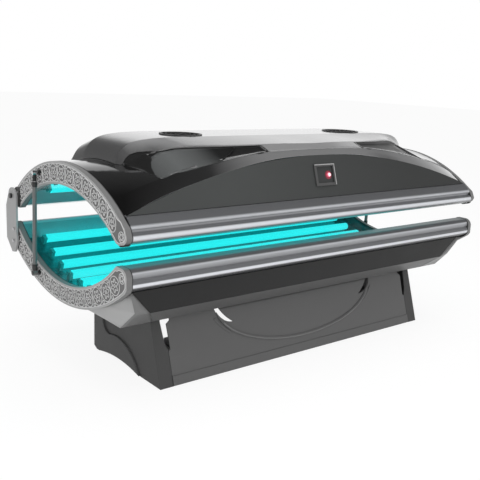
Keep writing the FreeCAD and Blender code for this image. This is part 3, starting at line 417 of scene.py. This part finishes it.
# top and foot lines of the painted shade sheet and the vane: place along the bed, height
SHADE_SHEET_TOP = ((-0.825, 0.850), (-0.812, 0.872), (-0.795, 0.888), (-0.765, 0.898), (-0.721, 0.9025),
             (-0.682, 0.904), (-0.644, 0.913), (-0.474, 0.921), (-0.274, 0.928))
SHADE_SHEET_FOOT = ((-0.825, 0.838), (-0.813, 0.817), (-0.76, 0.825), (-0.655, 0.851), (-0.539, 0.874),
              (-0.275, 0.908))
VANE_TOP = ((-0.79, 0.8275), (-0.772, 0.852), (-0.755, 0.868), (-0.735, 0.883), (-0.701, 0.8985),
            (-0.644, 0.911), (-0.474, 0.919), (-0.40, 0.920))
VANE_FOOT = ((-0.79, 0.8245), (-0.66, 0.8525), (-0.527, 0.876), (-0.45, 0.9), (-0.40, 0.919))
# the hood's front face: place along the bed, depth and height of its foot and of its top edge
FRONT_FACE = ((-0.8, -0.389, 0.814, -0.190, 0.862), (-0.74, -0.390, 0.833, -0.205, 0.893),
              (-0.65, -0.392, 0.855, -0.235, 0.920), (-0.48, -0.395, 0.8845, -0.285, 0.928),
              (-0.27, -0.3975, 0.9065, -0.331, 0.931))
# painted shade: a black sheet that stands for the dark inside each scoop
scoop_shade_black = finish("scoop shade black", (0.016, 0.016, 0.016), 0.3, vary=0.15, grain=500, bump=0.05)
vane_grey = finish("vane grey", (0.1, 0.105, 0.105), 0.3, vary=0.06, grain=900, bump=0.05)
# painted shade and highlight: the vane is near black at its inner end, brightest near its outer
# end
painted_light_bands(vane_grey, "Object", "X", 0.4, 0.8, (0.4, 0.05), (0.8, 0.7), (0.5, 0.12), (0.58, 0.75),
      (0.68, 1.15), (0.76, 0.85), mirror=True)


def follow(line, x):
    """Value, or values, of a broken line at one place along the bed."""
    for first, second in zip(line, line[1:]):
        if x <= second[0]:
            break
    share = min(max((x - first[0]) / (second[0] - first[0]), 0), 1)
    values = [a + share * (b - a) for a, b in zip(first[1:], second[1:])]
    return values[0] if len(values) == 1 else values


def face_depth(x, z):
    """Depth of the hood's straight front face, before the scoop is sunk in it."""
    foot_y, foot_z, edge_y, edge_z = follow(FRONT_FACE, x)
    return foot_y + (z - foot_z) / (edge_z - foot_z) * (edge_y - foot_y)


hood_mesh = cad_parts["canopy_hood"].data
hood_tree = BVHTree.FromPolygons([v.co for v in hood_mesh.vertices],
                                 [p.vertices for p in hood_mesh.polygons])
RIGHT_END = -0.72
SHADE_SHEET_PROUD, VANE_SUNK, VANE_PROUD = 0.0015, 0.004, 0.003


def scoop_skin(name, sign, top, foot, depth_at, material, thickness):
    """A thin sheet between two lines, bent to the depth that a function gives."""
    columns, rows = 72, 9
    points, faces = [], []
    for column in range(columns + 1):
        x = top[0][0] + (top[-1][0] - top[0][0]) * column / columns
        low, high = follow(foot, x), follow(top, x)
        for row in range(rows + 1):
            z = low + (high - low) * row / rows
            points.append((-sign * x, depth_at(sign, x, z), z))
    for column in range(columns):
        for row in range(rows):
            corner = column * (rows + 1) + row
            quad = (corner, corner + rows + 1, corner + rows + 2, corner + 1)
            faces.append(quad if sign < 0 else quad[::-1])
    piece = new_piece("%s_%s" % (name, "left" if sign < 0 else "right"), points, faces, material,
                      "canopy")
    sheet = piece.modifiers.new("sheet", "SOLIDIFY")
    sheet.thickness = thickness
    sheet.offset = -1
    return piece


def shade_sheet_depth(sign, x, z):
    """Just in front of the scoop's own floor, found by a ray from the front."""
    hit = hood_tree.ray_cast(Vector((-sign * x, -0.6, z)), Vector((0, 1, 0)))[0]
    return (hit.y if hit else face_depth(x, z)) - SHADE_SHEET_PROUD


def vane_depth(sign, x, z):
    """A little inside the hood's front face, but never behind the painted shade sheet."""
    return min(face_depth(x, z) + VANE_SUNK, shade_sheet_depth(sign, x, z) - VANE_PROUD)


def shortened(line, end):
    """The part of a line that lies nearer to mid length than one end."""
    return ((end, follow(line, end)),) + tuple(spot for spot in line if spot[0] > end)


scoop_skin("scoop_shade_sheet", -1, SHADE_SHEET_TOP, SHADE_SHEET_FOOT, shade_sheet_depth, scoop_shade_black, 0.001)
scoop_skin("scoop_shade_sheet", 1, shortened(SHADE_SHEET_TOP, RIGHT_END), shortened(SHADE_SHEET_FOOT, RIGHT_END),
           shade_sheet_depth, scoop_shade_black, 0.001)
scoop_skin("scoop_vane", -1, VANE_TOP, VANE_FOOT, vane_depth, vane_grey, 0.0012)

# ---------------------------------------------------------------- fans
# Two axial fans blow air through the hood. Black wire guards cover their round openings.

fan_black = finish("fan black", (0.025, 0.025, 0.025), 0.5, vary=0.1)
guard_wire = finish("guard wire", (0.05, 0.05, 0.05), 0.35, metal=0.6, vary=0.1)
dress(fan_black, "fan_housing_left", "fan_housing_right", "fan_impeller_left",
      "fan_impeller_right")
dress(guard_wire, "fan_guards")

# ---------------------------------------------------------------- hinges and gas springs
# Pale steel plates on the bench carry the hinge pins; black arms on the canopy turn on them.
# A gas spring at each end holds the canopy up: a dark grey tube and a bright chromed rod.

plate_paint = finish("plate paint", (0.38, 0.38, 0.38), 0.4, vary=0.04, grain=1200, bump=0.1)
black_steel = finish("black steel", (0.03, 0.03, 0.03), 0.35, metal=0.2, vary=0.12, grain=700,
                     bump=0.1)
tube_paint = finish("tube paint", (0.16, 0.165, 0.165), 0.28, metal=0.3, vary=0.06, grain=900,
                    bump=0.05)
bright_zinc = finish("bright zinc", (0.55, 0.55, 0.56), 0.3, metal=1.0, vary=0.1, grain=500,
                     bump=0.1)
chromed_rod = finish("chromed rod", (0.6, 0.6, 0.61), 0.08, metal=1.0, vary=0.04)
dress(plate_paint, "hinge_plate_left", "hinge_plate_right")
dress(black_steel, "hinge_arm_left", "hinge_arm_right", "hinge_pins", "lower_strut_studs",
      "upper_strut_studs")
dress(bright_zinc, "hinge_bushes", "hinge_spacers", "bench_end_screws", "canopy_end_screws")
dress(tube_paint, "strut_tube_left", "strut_tube_right")
dress(chromed_rod, "strut_rod_left", "strut_rod_right")

# ---------------------------------------------------------------- gas spring fittings
# A ribbed rubber boot covers the rod below the upper ball joint. A dark ferrule closes the foot
# of the tube and a collar its head. All three are turned or moulded, and pressed on to the spring.

SPRING_FOOT, SPRING_HEAD = Vector((0, 0.199, 0.359)), Vector((0, 0.182, 0.782))
fitting_black = finish("fitting black", (0.025, 0.025, 0.025), 0.35, vary=0.15, grain=900,
                       bump=0.1)


def turned(name, base, way, outline, material, body, count=40):
    """A turned piece: its outline gives distances along the axis and radii."""
    turn = way.to_track_quat("Z", "Y").to_matrix()
    points, faces = [], []
    for distance, radius in outline:
        for step in range(count):
            angle = math.tau * step / count
            rim = Vector((radius * math.cos(angle), radius * math.sin(angle), distance))
            points.append(base + turn @ rim)
    for row in range(len(outline) - 1):
        for step in range(count):
            beside = (step + 1) % count
            faces.append((row * count + step, row * count + beside,
                          (row + 1) * count + beside, (row + 1) * count + step))
    return new_piece(name, points, faces, material, body)


spring_way = (SPRING_HEAD - SPRING_FOOT).normalized()
SPRING_X, RIB_PITCH = 1.023, 0.006
BOOT = [(0.389, 0.0042), (0.389, 0.0078)]
for rib in range(5):
    up = RIB_PITCH * rib
    BOOT += [(0.3905 + up, 0.0084), (0.3925 + up, 0.0084), (0.3945 + up, 0.0074)]
BOOT += [(0.421, 0.0072), (0.421, 0.0042)]
FERRULE = [(0.012, 0.0092), (0.012, 0.0108), (0.016, 0.0113), (0.034, 0.0113), (0.038, 0.0108),
           (0.038, 0.0092)]
COLLAR = [(0.366, 0.0092), (0.366, 0.0103), (0.368, 0.0107), (0.382, 0.0107), (0.385, 0.0101),
          (0.3856, 0.0044)]
for side, sign in SIDES:
    foot = SPRING_FOOT + Vector((sign * SPRING_X, 0, 0))
    turned("spring_boot_" + side, foot, spring_way, BOOT, rubber,
           "strut_rod_" + side)
    for name, outline in (("spring_ferrule_", FERRULE), ("spring_collar_", COLLAR)):
        turned(name + side, foot, spring_way, outline, fitting_black,
               "strut_tube_" + side)

# ---------------------------------------------------------------- control panel
# A small square panel in the middle of the canopy's front holds one round start button that
# glows when the bed is ready, in a red ring that glows dimly as the halo of its light: painted
# light. Two small sensor caps sit beside it in the bezel. Bright strips along the bezel's top and
# right edges are painted highlights.

bezel_satin = finish("bezel satin", (0.075, 0.075, 0.075), 0.35, vary=0.05, edge=0.003)
bezel_highlight = finish("bezel highlight", (0.5, 0.5, 0.5), 0.3, metal=0.3, vary=0.05)
panel_black = finish("panel black", (0.03, 0.032, 0.032), 0.4, vary=0.2, grain=800, bump=0.15)
# painted light: the ring round the button glows dimly red, the halo of the button's light
halo_red = finish("halo red", (0.16, 0.02, 0.03), 0.3, vary=0.2, glow=(0.13, 0.012, 0.022, 1.0))
button_red = finish("button red", (0.3, 0.05, 0.08), 0.3, vary=0.2, glow=(0.5, 0.1, 0.16, 1.0))
lamp_pink = finish("lamp pink", (0.8, 0.5, 0.55), 0.3, vary=0.1, glow=(0.95, 0.62, 0.68, 1.0))
dress(bezel_satin, "control_bezel")
dress(panel_black, "control_panel")
dress(button_red, "start_button")
# the fascia leans back, and the panel's middle lies this far up it from its foot
LEAN, PANEL_MID = math.atan(0.32), 0.094
FASCIA_FOOT = Vector((0, -0.472, 0.717))
panel_out = Vector((0, -math.cos(LEAN), math.sin(LEAN)))
panel_up = Vector((0, math.sin(LEAN), math.cos(LEAN)))


def on_fascia(across, up):
    """A point on the front panel's face, from mid length and from its foot."""
    return Vector((across, FASCIA_FOOT.y, FASCIA_FOOT.z)) + panel_up * up


RING = [(-0.0005, 0.0106), (0.0008, 0.0108), (0.0014, 0.0118), (0.0014, 0.0168), (0.0006, 0.0182),
        (-0.0005, 0.0184)]
DOME = [(0.0, 0.0076), (0.0008, 0.0075), (0.0018, 0.0062), (0.0024, 0.0036), (0.0026, 0.0)]
CAP = [(-0.0005, 0.0036), (0.0012, 0.0036), (0.0024, 0.0027), (0.0028, 0.0012), (0.0028, 0.0)]
button_middle = on_fascia(0.020, PANEL_MID - 0.002)
BUTTON_STAND = 0.0074
turned("button_ring", button_middle, panel_out, RING, halo_red, "canopy")
turned("button_lamp", button_middle + panel_out * BUTTON_STAND, panel_out, DOME, lamp_pink,
       "start_button")

BEZEL_U, BEZEL_V, BEZEL_FACE, HIGHLIGHT_RISE = 0.06, 0.047, 0.0052, 0.0012
# outer and inner side of a painted highlight strip, in from the edge of the bezel
EDGE, HIGHLIGHT_FOOT = 0.002, 0.006
LEFT, RIGHT, INSIDE = -BEZEL_U + EDGE, BEZEL_U - EDGE, BEZEL_U - HIGHLIGHT_FOOT
BOTTOM, TOP = PANEL_MID - BEZEL_V + EDGE, PANEL_MID + BEZEL_V - EDGE
UNDER_TOP = PANEL_MID + BEZEL_V - HIGHLIGHT_FOOT


def highlight_strip(name, corners):
    """A thin bright strip along one edge of the bezel: a painted highlight."""
    points = [on_fascia(across, up) + panel_out * rise
              for rise in (BEZEL_FACE, BEZEL_FACE + HIGHLIGHT_RISE) for across, up in corners]
    faces = [(0, 3, 2, 1), (4, 5, 6, 7)]
    faces += [(n, (n + 1) % 4, 4 + (n + 1) % 4, 4 + n) for n in range(4)]
    return new_piece(name, points, faces, bezel_highlight, "canopy", smooth=False)


# painted highlights: bright strips along the top and right edges of the bezel
highlight_strip("bezel_highlight_top", ((LEFT, UNDER_TOP), (RIGHT, UNDER_TOP), (RIGHT, TOP), (LEFT, TOP)))
highlight_strip("bezel_highlight_side", ((INSIDE, BOTTOM), (RIGHT, BOTTOM), (RIGHT, UNDER_TOP),
                               (INSIDE, UNDER_TOP)))
for number, up in enumerate((PANEL_MID + 0.007, PANEL_MID - 0.010)):
    turned("sensor_cap_%d" % number, on_fascia(0.043, up), panel_out, CAP, fitting_black, "canopy",
           count=16)

# ---------------------------------------------------------------- pedestal
# Moulded covers hide a steel frame: a wide front panel with a raised half-oval bead and two
# side covers. The frame stands on four levelling feet and carries the ballasts.

base_grey = finish("base grey", (0.125, 0.125, 0.125), 0.42, vary=0.05, grain=1500, bump=0.15,
                   edge=0.003)
leg_grey = finish("leg grey", (0.1, 0.1, 0.1), 0.45, vary=0.05, grain=1500, bump=0.15, edge=0.006,
                  shine=0.25)
# painted light and shade: each cover's raised lobe is lighter, the face sunk above it darker
painted_light_bands(leg_grey, "Object", "X", 0, 0.785, (0.0, 0.8), (0.785, 1.2), (0.7775, 0.8), (0.7805, 1.2),
      mirror=True)
# painted shade: faces that look towards the ends are darkened to about half
painted_light_bands(leg_grey, "Normal", "X", 0, 1, (0.0, 1.0), (1.0, 0.55), (0.5, 1.0), (0.8, 0.55), mirror=True)
frame_paint = finish("frame paint", (0.05, 0.05, 0.05), 0.5, vary=0.1)
tray_white = finish("tray white", (0.75, 0.75, 0.75), 0.5, vary=0.08, mottle=40)
choke_paint = finish("choke paint", (0.2, 0.2, 0.21), 0.5, vary=0.1)
foot_rubber = finish("foot rubber", (0.03, 0.03, 0.03), 0.7, vary=0.1)
dress(base_grey, "base_front_panel")
dress(leg_grey, "base_leg_cover_left", "base_leg_cover_right")
dress(frame_paint, "leg_frame_left", "leg_frame_right", "base_beams", "control_box", "power_inlet")
dress(tray_white, "ballast_tray")
dress(choke_paint, "ballasts", "canopy_ballasts")
dress(foot_rubber, "levelling_feet")

# the half-oval line on the front panel: its level, half width and drop, and how far it stands off
OVAL_MIDDLE, OVAL_WIDTH, OVAL_DROP, STAND = 0.262, 0.461, 0.188, 0.0055
OVAL_STEPS, PANEL_FOOT = 72, Vector((0, -0.406, 0.002))
# painted highlight: the bead is a lighter grey than the panel, for the light along its top
bead_grey = finish("bead grey", (0.2, 0.2, 0.2), 0.35, vary=0.05, grain=1500, bump=0.1)
bead_line = bpy.data.curves.new("oval_bead", "CURVE")
bead_line.dimensions = "3D"
bead_line.bevel_depth = 0.0032
bead_line.bevel_resolution = 3
bead_line.use_fill_caps = True
sweep = bead_line.splines.new("POLY")
sweep.points.add(OVAL_STEPS)
for step, point in enumerate(sweep.points):
    turn = math.pi * (0.1 + 0.8 * step / OVAL_STEPS)
    across, up = OVAL_WIDTH * math.cos(turn), OVAL_MIDDLE - OVAL_DROP * math.sin(turn)
    place = Vector((across, PANEL_FOOT.y, PANEL_FOOT.z)) + panel_up * up + panel_out * STAND
    point.co = (*place, 1)
bead_line.materials.append(bead_grey)
bead = bpy.data.objects.new("oval_bead", bead_line)
bpy.context.scene.collection.objects.link(bead)
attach(bead, "bed_base")

# ---------------------------------------------------------------- studio
# A plain white floor that keeps a soft shadow, and a white surround that lights the bed evenly.
# Mirrors and gloss see the white surround with a dim ceiling above it.

REACH = 30
floor_mesh = bpy.data.meshes.new("floor")
floor_mesh.from_pydata([(-REACH, -REACH, 0), (REACH, -REACH, 0), (REACH, REACH, 0),
                        (-REACH, REACH, 0)], [], [(0, 1, 2, 3)])
floor = bpy.data.objects.new("floor", floor_mesh)
bpy.context.scene.collection.objects.link(floor)
floor_white = bpy.data.materials.new("floor white")
floor_white.use_nodes = True
floor_mesh.materials.append(floor_white)
pigment, cables = floor_white.node_tree.nodes, floor_white.node_tree.links
matt = pigment["Principled BSDF"]
matt.inputs["Base Color"].default_value = (0.8, 0.8, 0.8, 1)
matt.inputs["Roughness"].default_value = 0.9
white_glow = pigment.new("ShaderNodeEmission")
blend = pigment.new("ShaderNodeMixShader")
cables.new(matt.outputs["BSDF"], blend.inputs[1])
cables.new(white_glow.outputs["Emission"], blend.inputs[2])
cables.new(blend.outputs["Shader"], pigment["Material Output"].inputs["Surface"])


def background_rays(nodes, links):
    """1 for rays that should meet a white background, from the camera, gloss or glass."""
    path = nodes.new("ShaderNodeLightPath")
    total = path.outputs["Is Camera Ray"]
    for kind in ("Is Glossy Ray", "Is Transmission Ray"):
        either = nodes.new("ShaderNodeMath")
        either.operation = "MAXIMUM"
        links.new(total, either.inputs[0])
        links.new(path.outputs[kind], either.inputs[1])
        total = either.outputs["Value"]
    return path, total


path, seen = background_rays(pigment, cables)
# the floor is mostly plain white to the camera, and the rest of it takes the shadow
GLOW_SHARE, GLOW_LEVEL = 0.84, 1.06
share = pigment.new("ShaderNodeMath")
share.operation = "MULTIPLY"
share.inputs[1].default_value = GLOW_SHARE
cables.new(seen, share.inputs[0])
cables.new(share.outputs["Value"], blend.inputs["Fac"])
white_glow.inputs["Strength"].default_value = GLOW_LEVEL

world = bpy.data.worlds.new("studio")
bpy.context.scene.world = world
world.use_nodes = True
sky, wires = world.node_tree.nodes, world.node_tree.links
path, seen = background_rays(sky, wires)
way = sky.new("ShaderNodeTexCoord")
facing = sky.new("ShaderNodeSeparateXYZ")
wires.new(way.outputs["Generated"], facing.inputs["Vector"])


def ramp_of(reading, low, high, first, last):
    """A smooth step from one value to another."""
    step = sky.new("ShaderNodeMapRange")
    step.inputs["From Min"].default_value = low
    step.inputs["From Max"].default_value = high
    step.inputs["To Min"].default_value = first
    step.inputs["To Max"].default_value = last
    wires.new(reading, step.inputs["Value"])
    return step.outputs["Result"]


def combine(kind, first, second):
    """Joins two readings of the world with one operation."""
    joined = sky.new("ShaderNodeMath")
    joined.operation = kind
    wires.new(first, joined.inputs[0])
    wires.new(second, joined.inputs[1])
    return joined.outputs["Value"]


# the surround dims from the horizon upwards and towards the left
upper = combine("MULTIPLY", ramp_of(facing.outputs["Z"], 0.05, 0.46, 1.0, 0.34),
                ramp_of(facing.outputs["X"], 0.05, 0.36, 0.3, 1.0))
# a dark field lies overhead, towards the back and the right
overhead = combine("MULTIPLY", ramp_of(facing.outputs["Z"], 0.50, 0.54, 0.0, 1.0),
                   ramp_of(facing.outputs["Y"], -0.5, -0.3, 0.0, 1.0))
overhead = combine("MULTIPLY", overhead, ramp_of(facing.outputs["X"], -0.45, -0.15, 0.0, 1.0))
ceiling = combine("MULTIPLY", upper, ramp_of(overhead, 0.0, 1.0, 1.0, 0.12))
mirrored = combine("MAXIMUM", ceiling, path.outputs["Is Camera Ray"])
# matt surfaces are lit evenly, by a weaker surround than the one that is seen
EVEN_LIGHT = 0.6
plain = ramp_of(seen, 0.0, 1.0, EVEN_LIGHT, 1.0)
level = combine("MULTIPLY", plain, combine("MAXIMUM", mirrored, ramp_of(seen, 0.0, 1.0, 1.0, 0.0)))
wires.new(level, sky["Background"].inputs["Strength"])
sky["Background"].inputs["Color"].default_value = (1, 1, 1, 1)


def softbox(name, spot, aim, width, height, power):
    """A wide lamp that gloss and mirrors don't show."""
    light = bpy.data.lights.new(name, "AREA")
    light.shape = "RECTANGLE"
    light.size, light.size_y, light.energy = width, height, power
    lamp = bpy.data.objects.new(name, light)
    lamp.location = spot
    lamp.rotation_euler = (Vector(aim) - Vector(spot)).to_track_quat("-Z", "Y").to_euler()
    lamp.visible_glossy = False
    bpy.context.scene.collection.objects.link(lamp)


softbox("overhead", (0, -0.5, 3.2), (0, 0, 0.5), 4.0, 2.5, 45)
softbox("front_left", (-3.0, -3.5, 2.2), (0, 0, 0.5), 2.0, 2.0, 40)

HEADING, DIP, ROLL = 0.68114, 0.22535, 0.04481
lens = bpy.data.cameras.new("camera")
lens.sensor_width, lens.lens = 36, 54
lens.clip_start = 0.01
camera = bpy.data.objects.new("camera", lens)
camera.location = (-2.18708, -2.58991, 1.20363)
aim = Euler((math.pi / 2 - DIP, 0, -HEADING)).to_matrix() @ Matrix.Rotation(ROLL, 3, "Z")
camera.rotation_euler = aim.to_euler()
bpy.context.scene.collection.objects.link(camera)
bpy.context.scene.camera = camera

bpy.context.scene.view_settings.view_transform = "Standard"
